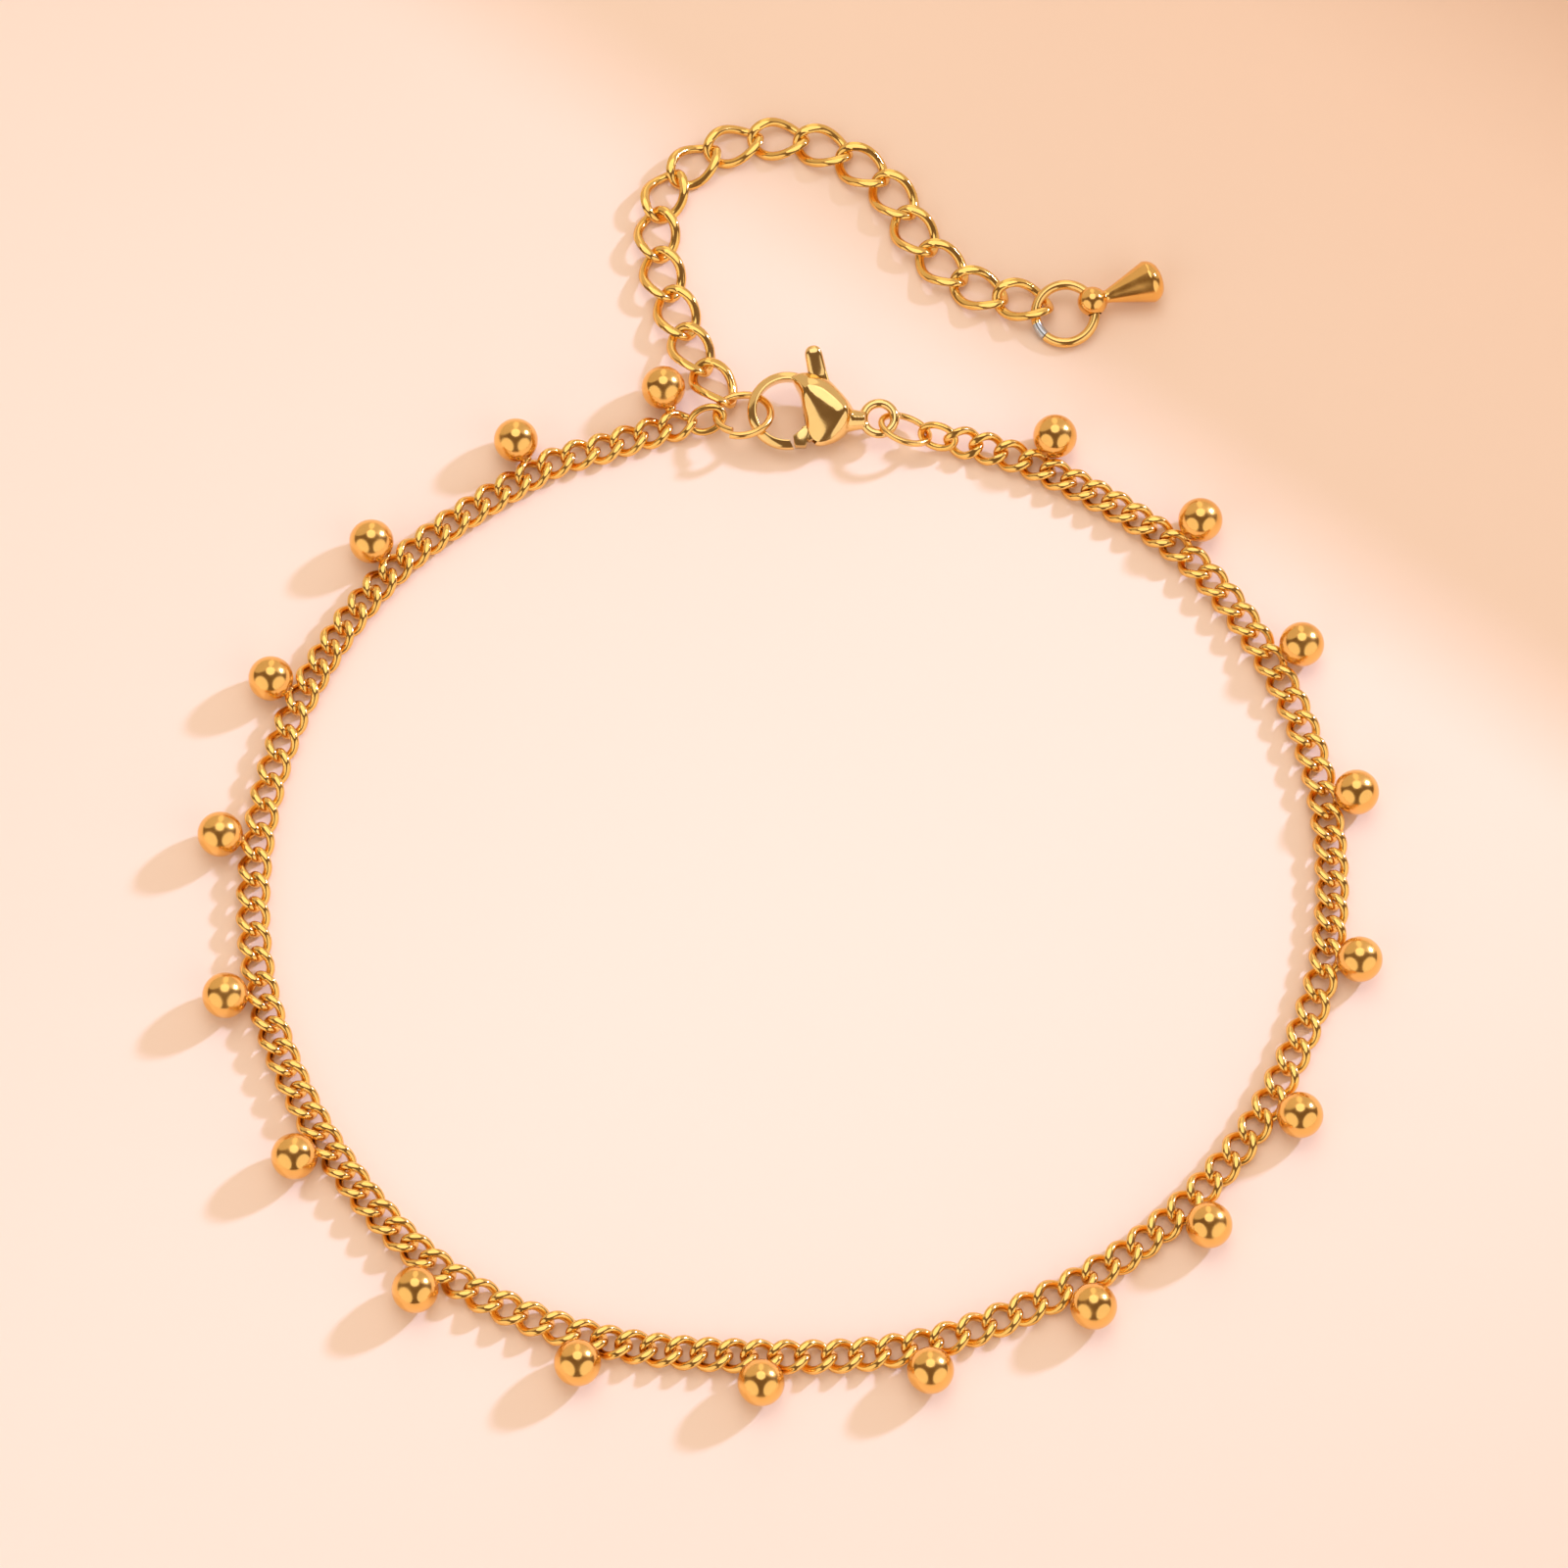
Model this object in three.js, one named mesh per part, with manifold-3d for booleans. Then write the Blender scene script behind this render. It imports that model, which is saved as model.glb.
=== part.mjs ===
// Charm anklet: a fine curb chain with round balls, closed by a lobster clasp, with an extender and a drop.
// It lies on a table, so +Z is up and the origin is on the table under the middle of its footprint.
// All sizes are in millimetres.
import * as THREE from 'three';
import { mergeVertices } from 'three/addons/utils/BufferGeometryUtils.js';
import Module from 'manifold-3d';

// Balls: the middle of each one on the table, and how far inside it the chain's middle line runs.
const BALL_DIAMETER = 3.0;
const BALLS = [
  [-8.6, 25.1, 2.6],
  [-18.6, 21.1, 2.4],
  [-28.2, 13.5, 2.25],
  [-34.6, 3.4, 2.25],
  [-37.5, -7.8, 2.4],
  [-36.7, -19.1, 2.35],
  [-31.8, -30.1, 2.25],
  [-23.8, -39.0, 2.15],
  [-13.4, -43.8, 2.0],
  [-1.8, -45.1, 1.95],
  [8.9, -44.3, 1.95],
  [19.3, -40.1, 2.0],
  [26.8, -34.7, 2.1],
  [32.9, -27.3, 2.2],
  [37.2, -16.6, 2.15],
  [37.5, -4.8, 2.1],
  [34.3, 5.9, 2.25],
  [27.8, 15.1, 2.3],
  [18.1, 21.4, 2.2],
];
const BALL_GAP = 0.15;

// Main chain: a tube of the chain's width and thickness, with a plain link at each end.
const CHAIN_WIDTH = 2.1;
const CHAIN_THICKNESS = 1.2;
const CHAIN_STEPS = 80;
const END_LINK = { halfLength: 1.2, halfWidth: 0.8, wire: 0.5 };
const LEFT_END = { at: [-5.62, 22.84, 1.18], yaw: -161.7, pitch: 17.7, roll: -35.2 };
const RIGHT_END = { at: [10.15, 21.56, 1.16], yaw: 161.7, pitch: 0, roll: -51 };
const SAG_POINT = [-12.64, 20.94];

// Clasp: its own frame has x along the clasp to the tail ring and z square to its flat side.
const CLASP = { at: [-0.97, 23.33, 1.55], yaw: -5.2, roll: 12 };
const HOOK = { middle: [0.85, 0.05], outer: 2.75, inner: 2.1, height: 0.75, from: 72, to: 279 };
const BODY_PLATE = 1.5;
const BODY_DOME = { middle: [3.45, 0.2], half: [2.25, 1.8, 1.4], turn: -24 };
const TAIL_RING = { middle: [7.13, 0.04], radius: 1.07, wire: 0.54 };
const PIVOT = [4.1, -0.4];
const PIN_RADIUS = 0.35;
const LEVER_HOLE_RADIUS = 0.43;
const LEVER_THICKNESS = 0.9;
const LEVER_GAP = 0.12;
const GATE_REACH = 3.38;
const LEVER_HUB_RADIUS = 0.8;
const TAB = { base: [2.68, 2.88], tip: [2.25, 4.2], baseRadius: 0.65, tipRadius: 0.52 };

// Jump rings.
const CLASP_RING = { at: [-3.22, 23.11, 1.43], tiltX: -19.1, tiltY: -3.9, radius: 1.9, wire: 0.5 };
const OVAL_RING = { at: [7.69, 22.14, 1.41], yaw: -10, pitch: 8.8, roll: -34, halfLength: 1.92, halfWidth: 1.07, wire: 0.46 };
const END_RING = { at: [19.03, 31.09, 0.93], tiltX: 13.9, tiltY: -5.6, radius: 2.05, wire: 0.7 };

// Extender: open curb links. The first and last ones are rolled to pass the rings.
const LINK = { halfLength: 1.92, halfWidth: 1.36, twist: 0.38, wire: 0.46 };
const LINK_COUNT = 16;
const FIRST_LINK = { at: [-5.03, 25.57, 0.82], yaw: 120.6, pitch: 5.7, roll: 18.5 };
const SECOND_LINK_ROLL = 11.9;
const LAST_LINK_ROLL = -3.9;
const EXTENDER_ROUTE = [
  [-6.63, 28.28, 0.81],
  [-7.7, 31.1, 0.63],
  [-9.1, 36.0, 0.62],
  [-8.6, 40.7, 0.62],
  [-4.6, 44.3, 0.62],
  [1.0, 44.8, 0.62],
  [6.4, 41.6, 0.62],
  [9.7, 36.0, 0.62],
  [13.1, 33.1, 0.63],
  [16.15, 32.11, 0.81],
];

// Drop: distance along its axis from the eye's middle, and radius there.
const DROP_YAW = 20.6;
const DROP_PITCH = -2;
const EYE_RADIUS = 1.035;
const EYE_ANGLE = 23.5;
const EYE_GAP = 0.12;
const DROP_PROFILE = [
  [0.95, 0.44],
  [1.5, 0.58],
  [2.6, 0.88],
  [3.7, 1.24],
  [4.3, 1.43],
  [4.85, 1.38],
  [5.2, 1.0],
  [5.35, 0.45],
];

const rad = THREE.MathUtils.degToRad;
const wasm = await Module();
wasm.setup();

function solid(geometry) {
  const plain = (geometry.index ? geometry.toNonIndexed() : geometry).clone();
  plain.deleteAttribute('normal');
  plain.deleteAttribute('uv');
  const merged = mergeVertices(plain, 1e-5);
  return new wasm.Manifold(new wasm.Mesh({
    numProp: 3,
    vertProperties: new Float32Array(merged.attributes.position.array),
    triVerts: new Uint32Array(merged.index.array),
  }));
}

function geometryOf(body) {
  const mesh = body.getMesh();
  const geometry = new THREE.BufferGeometry();
  geometry.setAttribute('position', new THREE.BufferAttribute(new Float32Array(mesh.vertProperties), 3));
  geometry.setIndex(new THREE.BufferAttribute(new Uint32Array(mesh.triVerts), 1));
  geometry.computeVertexNormals();
  return geometry;
}

// An oval loop of wire. A twist lifts and lowers its quarters in turn, as in a curb link.
class LoopCurve extends THREE.Curve {
  constructor(halfLength, halfWidth, twist) {
    super();
    this.halfLength = halfLength;
    this.halfWidth = halfWidth;
    this.twist = twist;
  }

  getPoint(t) {
    const u = t * 2 * Math.PI;
    return new THREE.Vector3(
      this.halfLength * Math.cos(u),
      this.halfWidth * Math.sin(u),
      -this.twist * Math.sin(2 * u),
    );
  }
}

function loop(halfLength, halfWidth, twist, wire, steps) {
  return new THREE.TubeGeometry(new LoopCurve(halfLength, halfWidth, twist), steps, wire / 2, 6, true);
}

function turned(yaw, pitch, roll) {
  return new THREE.Euler(rad(roll), rad(pitch), rad(yaw), 'ZYX');
}

function placed(geometry, place) {
  const turn = new THREE.Quaternion().setFromEuler(turned(place.yaw, place.pitch, place.roll));
  const matrix = new THREE.Matrix4().compose(new THREE.Vector3(...place.at), turn, new THREE.Vector3(1, 1, 1));
  return geometry.applyMatrix4(matrix);
}

const anklet = new THREE.Group();
anklet.name = 'charm_anklet';

function add(name, geometry) {
  const mesh = new THREE.Mesh(geometry, new THREE.MeshStandardMaterial({
    color: 0xe3b468,
    metalness: 1,
    roughness: 0.2,
  }));
  mesh.name = name;
  anklet.add(mesh);
  return mesh;
}

// Main chain. Its route runs through the foot of each ball, inside the ball.
const ballMiddle = BALLS.map(([x, y]) => new THREE.Vector3(x, y, BALL_DIAMETER / 2));
const chainLevel = CHAIN_THICKNESS / 2 + 0.02;
const feet = BALLS.map(([x, y, reach], i) => {
  const before = ballMiddle[Math.max(i - 1, 0)];
  const after = ballMiddle[Math.min(i + 1, BALLS.length - 1)];
  const along = after.clone().sub(before).normalize();
  return new THREE.Vector3(x - along.y * reach, y + along.x * reach, chainLevel);
});

function endOfLink(place) {
  const along = new THREE.Vector3(1, 0, 0).applyEuler(turned(place.yaw, place.pitch, place.roll));
  return new THREE.Vector3(...place.at).addScaledVector(along, END_LINK.halfLength);
}

const leftStart = endOfLink(LEFT_END);
const rightStart = endOfLink({ ...RIGHT_END, yaw: RIGHT_END.yaw + 180, pitch: -RIGHT_END.pitch });
const routePoints = [leftStart, feet[0], new THREE.Vector3(...SAG_POINT, chainLevel), ...feet.slice(1), rightStart];
const chainRoute = new THREE.CatmullRomCurve3(routePoints, false, 'centripetal');
const halfThick = CHAIN_THICKNESS / 2;
const halfWide = CHAIN_WIDTH / 2;
const chainSection = new THREE.Shape([
  new THREE.Vector2(halfThick, halfWide * 0.5),
  new THREE.Vector2(halfThick * 0.5, halfWide),
  new THREE.Vector2(-halfThick * 0.5, halfWide),
  new THREE.Vector2(-halfThick, halfWide * 0.5),
  new THREE.Vector2(-halfThick, -halfWide * 0.5),
  new THREE.Vector2(-halfThick * 0.5, -halfWide),
  new THREE.Vector2(halfThick * 0.5, -halfWide),
  new THREE.Vector2(halfThick, -halfWide * 0.5),
]);
let chain = solid(new THREE.ExtrudeGeometry(chainSection, { steps: CHAIN_STEPS, extrudePath: chainRoute }));
for (const place of [LEFT_END, RIGHT_END]) {
  const link = loop(END_LINK.halfLength, END_LINK.halfWidth, 0, END_LINK.wire, 14);
  chain = chain.add(solid(placed(link, place)));
}
for (const middle of ballMiddle) {
  const room = new THREE.SphereGeometry(BALL_DIAMETER / 2 + BALL_GAP, 14, 9);
  room.rotateX(Math.PI / 2);
  room.translate(middle.x, middle.y, middle.z);
  chain = chain.subtract(solid(room));
}
add('chain', geometryOf(chain));

// Balls.
ballMiddle.forEach((middle, i) => {
  const ball = new THREE.SphereGeometry(BALL_DIAMETER / 2, 12, 8);
  ball.rotateX(Math.PI / 2);
  const number = String(i + 1).padStart(2, '0');
  add(`ball_${number}`, ball).position.copy(middle);
});

// Clasp lever, in the clasp's own frame: a hub on the pin, an arm with a thumb tab and an arm with the gate.
function slab(points, thickness) {
  const shape = new THREE.Shape(points.map(([x, y]) => new THREE.Vector2(x, y)));
  const geometry = new THREE.ExtrudeGeometry(shape, { depth: thickness, bevelEnabled: false });
  return geometry.translate(0, 0, -thickness / 2);
}

function arm(from, to, halfFrom, halfTo, thickness) {
  const a = new THREE.Vector2(...from);
  const b = new THREE.Vector2(...to);
  const side = b.clone().sub(a).normalize().rotateAround(new THREE.Vector2(), Math.PI / 2);
  return slab([
    [a.x - side.x * halfFrom, a.y - side.y * halfFrom],
    [b.x - side.x * halfTo, b.y - side.y * halfTo],
    [b.x + side.x * halfTo, b.y + side.y * halfTo],
    [a.x + side.x * halfFrom, a.y + side.y * halfFrom],
  ], thickness);
}

function leverSolid() {
  const thickness = LEVER_THICKNESS;
  const hub = new THREE.CylinderGeometry(LEVER_HUB_RADIUS, LEVER_HUB_RADIUS, thickness, 16);
  hub.rotateX(Math.PI / 2);
  hub.translate(PIVOT[0], PIVOT[1], 0);
  let body = solid(hub);
  body = body.add(solid(arm(PIVOT, TAB.base, 0.5, 0.5, thickness)));
  const base = new THREE.Vector2(...TAB.base);
  const tip = new THREE.Vector2(...TAB.tip);
  const lean = tip.clone().sub(base).angle() - Math.PI / 2;
  const length = tip.distanceTo(base);
  const post = new THREE.CylinderGeometry(TAB.tipRadius, TAB.baseRadius, length + 0.2, 12);
  post.rotateZ(lean);
  const mid = base.clone().lerp(tip, 0.5 - 0.1 / length);
  post.translate(mid.x, mid.y, 0);
  body = body.add(solid(post));
  const dome = new THREE.SphereGeometry(TAB.tipRadius, 12, 8);
  dome.rotateZ(lean);
  dome.translate(tip.x, tip.y, 0);
  body = body.add(solid(dome));
  body = body.add(solid(arm(PIVOT, [2.2, -1.55], 0.5, 0.6, thickness)));
  const gate = [
    [1.58, -2.45],
    [2.35, -2.4],
    [2.5, -1.2],
    [2.1, -1.05],
    [1.4, -1.75],
  ];
  body = body.add(solid(slab(gate, thickness)));
  return body;
}

const holeGeometry = new THREE.CylinderGeometry(LEVER_HOLE_RADIUS, LEVER_HOLE_RADIUS, 3, 16);
holeGeometry.rotateX(Math.PI / 2);
holeGeometry.translate(PIVOT[0], PIVOT[1], 0);
const lever = leverSolid().subtract(solid(holeGeometry));

// Clasp body: plate and dome, hook, neck and tail ring, slotted for the lever's swing, with the pin across it.
const plateShape = new THREE.Shape();
plateShape.moveTo(0.98, 2.34);
plateShape.splineThru([
  new THREE.Vector2(1.91, 2.81),
  new THREE.Vector2(3.4, 2.4),
  new THREE.Vector2(4.97, 1.06),
  new THREE.Vector2(5.75, 0.5),
]);
plateShape.lineTo(5.9, -0.6);
plateShape.splineThru([
  new THREE.Vector2(4.98, -1.37),
  new THREE.Vector2(4.0, -1.97),
  new THREE.Vector2(2.95, -2.15),
  new THREE.Vector2(2.3, -1.41),
  new THREE.Vector2(1.98, -0.17),
  new THREE.Vector2(1.61, 1.07),
  new THREE.Vector2(1.16, 1.98),
]);
plateShape.closePath();
const plate = new THREE.ExtrudeGeometry(plateShape, {
  depth: BODY_PLATE - 0.5,
  bevelEnabled: true,
  bevelThickness: 0.25,
  bevelSize: 0.2,
  bevelOffset: -0.2,
  bevelSegments: 1,
  curveSegments: 4,
});
plate.translate(0, 0, -(BODY_PLATE - 0.5) / 2);
let clasp = solid(plate);

const dome = new THREE.SphereGeometry(1, 16, 10);
dome.scale(...BODY_DOME.half);
dome.rotateZ(rad(BODY_DOME.turn));
dome.translate(...BODY_DOME.middle, 0);
clasp = clasp.add(solid(dome));

const hookShape = new THREE.Shape();
hookShape.absarc(...HOOK.middle, HOOK.outer, rad(HOOK.from), rad(HOOK.to), false);
hookShape.absarc(...HOOK.middle, HOOK.inner, rad(HOOK.to - 5), rad(HOOK.from), true);
hookShape.closePath();
const hook = new THREE.ExtrudeGeometry(hookShape, { depth: HOOK.height, bevelEnabled: false, curveSegments: 22 });
hook.translate(0, 0, -HOOK.height / 2);
clasp = clasp.add(solid(hook));

const neck = new THREE.CylinderGeometry(0.42, 0.55, 1.2, 12);
neck.rotateZ(-Math.PI / 2);
neck.translate(5.6, 0.02, 0);
clasp = clasp.add(solid(neck));

const tail = new THREE.TorusGeometry(TAIL_RING.radius, TAIL_RING.wire / 2, 8, 18);
tail.translate(...TAIL_RING.middle, 0);
clasp = clasp.add(solid(tail));

// Room for the lever: a round pocket for the hub, and a fan for each arm's swing about the pin.
function around(angle, distance) {
  return [PIVOT[0] + distance * Math.cos(rad(angle)), PIVOT[1] + distance * Math.sin(rad(angle))];
}

const slotHeight = LEVER_THICKNESS + 2 * LEVER_GAP;
const pocketRadius = LEVER_HUB_RADIUS + LEVER_GAP;
const pocket = new THREE.CylinderGeometry(pocketRadius, pocketRadius, slotHeight, 16);
pocket.rotateX(Math.PI / 2);
pocket.translate(PIVOT[0], PIVOT[1], 0);
const tabRoom = slab([
  around(205, 0.64),
  around(134, 2.6),
  around(130, 3.8),
  around(101, 4.6),
  around(76, 3.8),
  around(72, 2.6),
  around(5, 0.64),
], slotHeight);
const gateRoom = slab([
  around(101, 0.64),
  around(170, 2.2),
  around(176, GATE_REACH),
  around(190, GATE_REACH),
  around(205, GATE_REACH),
  around(220, GATE_REACH),
  around(233, GATE_REACH),
  around(236, 2.2),
  around(301, 0.64),
], slotHeight);
clasp = clasp.subtract(solid(pocket).add(solid(tabRoom)).add(solid(gateRoom)));

const pin = new THREE.CylinderGeometry(PIN_RADIUS, PIN_RADIUS, 2, 16);
pin.rotateX(Math.PI / 2);
pin.translate(PIVOT[0], PIVOT[1], 0);
clasp = clasp.add(solid(pin));

for (const [name, body] of [['clasp_body', clasp], ['lever', lever]]) {
  const mesh = add(name, geometryOf(body));
  mesh.position.set(...CLASP.at);
  mesh.rotation.copy(turned(CLASP.yaw, 0, CLASP.roll));
}

// Jump rings.
const claspRing = add('clasp_ring', new THREE.TorusGeometry(CLASP_RING.radius, CLASP_RING.wire / 2, 6, 20));
claspRing.position.set(...CLASP_RING.at);
claspRing.rotation.set(rad(CLASP_RING.tiltX), rad(CLASP_RING.tiltY), 0, 'XYZ');

const ovalRing = add('oval_ring', loop(OVAL_RING.halfLength, OVAL_RING.halfWidth, 0, OVAL_RING.wire, 20));
ovalRing.position.set(...OVAL_RING.at);
ovalRing.rotation.copy(turned(OVAL_RING.yaw, OVAL_RING.pitch, OVAL_RING.roll));

const endRing = add('end_ring', new THREE.TorusGeometry(END_RING.radius, END_RING.wire / 2, 8, 20));
endRing.position.set(...END_RING.at);
endRing.rotation.set(rad(END_RING.tiltX), rad(END_RING.tiltY), 0, 'XYZ');

// Extender links, evenly spaced along their route.
const extenderRoute = new THREE.CatmullRomCurve3(
  EXTENDER_ROUTE.map((point) => new THREE.Vector3(...point)), false, 'centripetal');
const places = extenderRoute.getSpacedPoints(LINK_COUNT - 2);
for (let i = 0; i < LINK_COUNT; i += 1) {
  const link = loop(LINK.halfLength, LINK.halfWidth, LINK.twist, LINK.wire, 16);
  const mesh = add(`extender_${String(i + 1).padStart(2, '0')}`, link);
  if (i === 0) {
    mesh.position.set(...FIRST_LINK.at);
    mesh.rotation.copy(turned(FIRST_LINK.yaw, FIRST_LINK.pitch, FIRST_LINK.roll));
  } else {
    const along = extenderRoute.getTangentAt((i - 1) / (LINK_COUNT - 2));
    const roll = i === 1 ? SECOND_LINK_ROLL : i === LINK_COUNT - 1 ? LAST_LINK_ROLL : 0;
    mesh.position.copy(places[i - 1]);
    mesh.rotation.copy(turned(THREE.MathUtils.radToDeg(Math.atan2(along.y, along.x)), 0, roll));
  }
}

// Drop: a ball eye drilled for the end ring, and a cone that swells to a rounded end.
const eyeArc = [];
for (let k = 0; k <= 6; k += 1) {
  const angle = -Math.PI / 2 + (k / 6) * (Math.PI / 2 + 1.1);
  eyeArc.push(new THREE.Vector2(k === 0 ? 0 : EYE_RADIUS * Math.cos(angle), EYE_RADIUS * Math.sin(angle)));
}
const profile = DROP_PROFILE.map(([along, radius]) => new THREE.Vector2(radius, along));
const dropEnd = new THREE.Vector2(0, DROP_PROFILE[DROP_PROFILE.length - 1][0] + 0.05);
const drop = new THREE.LatheGeometry([...eyeArc, ...profile, dropEnd], 14);
drop.rotateZ(-Math.PI / 2);
const eye = new THREE.Vector3(Math.cos(rad(EYE_ANGLE)), Math.sin(rad(EYE_ANGLE)), 0)
  .multiplyScalar(END_RING.radius)
  .applyEuler(endRing.rotation)
  .add(endRing.position);
const dropTurn = new THREE.Quaternion().setFromEuler(turned(DROP_YAW, DROP_PITCH, 0));
drop.applyMatrix4(new THREE.Matrix4().compose(eye, dropTurn, new THREE.Vector3(1, 1, 1)));
const eyeRoom = new THREE.TorusGeometry(END_RING.radius, END_RING.wire / 2 + EYE_GAP, 10, 24);
eyeRoom.applyMatrix4(new THREE.Matrix4().compose(
  endRing.position, endRing.quaternion, new THREE.Vector3(1, 1, 1)));
add('drop', geometryOf(solid(drop).subtract(solid(eyeRoom))));

export default anklet;
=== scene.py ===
import bisect
import math

import bmesh
import bpy
from mathutils import Euler, Matrix, Vector, geometry


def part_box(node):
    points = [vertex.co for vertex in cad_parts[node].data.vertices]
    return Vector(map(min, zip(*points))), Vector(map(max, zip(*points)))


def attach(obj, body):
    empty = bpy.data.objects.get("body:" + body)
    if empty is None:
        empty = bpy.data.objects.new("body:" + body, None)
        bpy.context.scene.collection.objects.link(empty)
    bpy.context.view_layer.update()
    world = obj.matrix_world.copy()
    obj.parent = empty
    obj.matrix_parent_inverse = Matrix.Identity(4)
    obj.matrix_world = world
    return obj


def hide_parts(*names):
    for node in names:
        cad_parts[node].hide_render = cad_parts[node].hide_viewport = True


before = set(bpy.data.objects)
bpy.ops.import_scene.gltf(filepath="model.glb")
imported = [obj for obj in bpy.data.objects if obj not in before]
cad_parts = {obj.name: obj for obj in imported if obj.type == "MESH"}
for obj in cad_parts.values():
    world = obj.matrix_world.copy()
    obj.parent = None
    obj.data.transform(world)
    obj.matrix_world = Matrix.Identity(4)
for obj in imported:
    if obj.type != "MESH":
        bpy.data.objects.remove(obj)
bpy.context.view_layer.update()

# Curb chain: links of gold-plated steel wire, each bent to an oval and twisted so that the next lies flat
# in it, then filed a little flat above and below. The chain lies on the table in a loop around the ankle's
# place, and a plain link at each end takes a jump ring.
MM = 0.001
CHAIN_WIRE = 0.57
CHAIN_HALF_LENGTH = 1.14
CHAIN_HALF_WIDTH = 0.87
CHAIN_TWIST = 54
CHAIN_PITCH = 1.7
CHAIN_LEVEL = 0.62
CHAIN_FILED = 0.61
FILING_START = 0.72
BALL_COUNT = 19
BALL_REACH = [2.6, 2.4, 2.25, 2.25, 2.4, 2.35, 2.25, 2.15, 2.0, 1.95,
              1.95, 2.0, 2.1, 2.2, 2.15, 2.1, 2.25, 2.3, 2.2]
LEFT_END = (-5.62, 22.84, 1.18)
LEFT_END_TURN = (-35.2, 17.7, -161.7)
RIGHT_END = (10.15, 21.56, 1.16)
RIGHT_END_TURN = (-51.0, 0.0, 161.7)
SAG_POINT = (-12.64, 20.94)
ROUTE_STEPS = 40
LEFT_ROLL = -4.0
RIGHT_ROLLS = [-38.0, -24.0, -12.0]
END_HALF_LENGTH = 1.2
END_HALF_WIDTH = 0.8
END_WIRE = 0.5
LACQUER_ROUGHNESS = 0.36
CLOUD_LOW = 0.3
CLOUD_HIGH = 0.7
DARKEST_TONE = 0.9
BEST_POLISH = 0.7
WORST_POLISH = 1.4
MARKS_FINER = 6
MARK_DEPTH = 0.01
ROUNDING_SLACK = 1e-4


def gold(name, colour, roughness, grain, scratch, lacquer=0.0):
    """Gold plate: a metal whose colour and polish vary finely, with faint polishing marks.
    A clear lacquer lies over it where one is given."""
    material = bpy.data.materials.new(name)
    material.use_nodes = True
    nodes = material.node_tree.nodes
    links = material.node_tree.links
    shader = nodes["Principled BSDF"]
    shader.inputs["Metallic"].default_value = 1.0
    shader.inputs["Coat Weight"].default_value = lacquer
    shader.inputs["Coat Roughness"].default_value = LACQUER_ROUGHNESS
    place = nodes.new("ShaderNodeTexCoord")
    cloud = nodes.new("ShaderNodeTexNoise")
    cloud.inputs["Scale"].default_value = grain
    cloud.inputs["Detail"].default_value = 4.0
    links.new(place.outputs["Object"], cloud.inputs["Vector"])
    tone = nodes.new("ShaderNodeValToRGB")
    tone.color_ramp.elements[0].position = CLOUD_LOW
    tone.color_ramp.elements[0].color = [c * DARKEST_TONE for c in colour] + [1.0]
    tone.color_ramp.elements[1].position = CLOUD_HIGH
    tone.color_ramp.elements[1].color = list(colour) + [1.0]
    links.new(cloud.outputs["Fac"], tone.inputs["Fac"])
    links.new(tone.outputs["Color"], shader.inputs["Base Color"])
    polish = nodes.new("ShaderNodeMapRange")
    polish.inputs["From Min"].default_value = CLOUD_LOW
    polish.inputs["From Max"].default_value = CLOUD_HIGH
    polish.inputs["To Min"].default_value = roughness * BEST_POLISH
    polish.inputs["To Max"].default_value = roughness * WORST_POLISH
    links.new(cloud.outputs["Fac"], polish.inputs["Value"])
    links.new(polish.outputs["Result"], shader.inputs["Roughness"])
    marks = nodes.new("ShaderNodeTexNoise")
    marks.inputs["Scale"].default_value = grain * MARKS_FINER
    marks.inputs["Detail"].default_value = 2.0
    links.new(place.outputs["Object"], marks.inputs["Vector"])
    bump = nodes.new("ShaderNodeBump")
    bump.inputs["Strength"].default_value = scratch
    bump.inputs["Distance"].default_value = MARK_DEPTH * MM
    links.new(marks.outputs["Fac"], bump.inputs["Height"])
    links.new(bump.outputs["Normal"], shader.inputs["Normal"])
    return material


def wire_loop(half_length, half_width, wire, twist=0.0, *, steps, sides,
              cut=0.0, cut_at=0.0, wide=1.0, spiral=0.0):
    """Wire spun into a ring, bent to an oval and twisted about its length, by the given degrees at each end.
    A cut leaves two ends, which a spiral sets one outside the other. The wire may be wider than high."""
    loop = bmesh.new()
    start = math.radians(cut_at + cut / 2)
    turn = Matrix.Rotation(start, 4, "Z")
    stand = turn @ Matrix.Translation((1, 0, 0)) @ Matrix.Rotation(math.pi / 2, 4, "X")
    bmesh.ops.create_circle(loop, segments=sides, radius=wire / 2, matrix=stand)
    around = math.radians(360 - cut)
    bmesh.ops.spin(loop, geom=loop.verts[:] + loop.edges[:], cent=(0, 0, 0), axis=(0, 0, 1),
                   angle=around, steps=steps, use_merge=cut == 0)
    ends = [edge for edge in loop.edges if edge.is_boundary]
    if ends:
        bmesh.ops.holes_fill(loop, edges=ends, sides=0)

    def twisted(u, x, y):
        lean = -math.radians(twist) * math.cos(u)
        return Vector((x, y * math.cos(lean), y * math.sin(lean)))

    def middle(u):
        return twisted(u, half_length * math.cos(u), half_width * math.sin(u))

    for vert in loop.verts:
        u = math.atan2(vert.co.y, vert.co.x)
        share = ((u - start + ROUNDING_SLACK) % (2 * math.pi)) / around
        away = (math.hypot(vert.co.x, vert.co.y) - 1) * wide + spiral * (share - 0.5)
        along = (middle(u + 0.01) - middle(u - 0.01)).normalized()
        outward = twisted(u, half_width * math.cos(u), half_length * math.sin(u))
        outward = (outward - along * outward.dot(along)).normalized()
        vert.co = middle(u) + outward * away + outward.cross(along) * vert.co.z
    return loop


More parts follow.
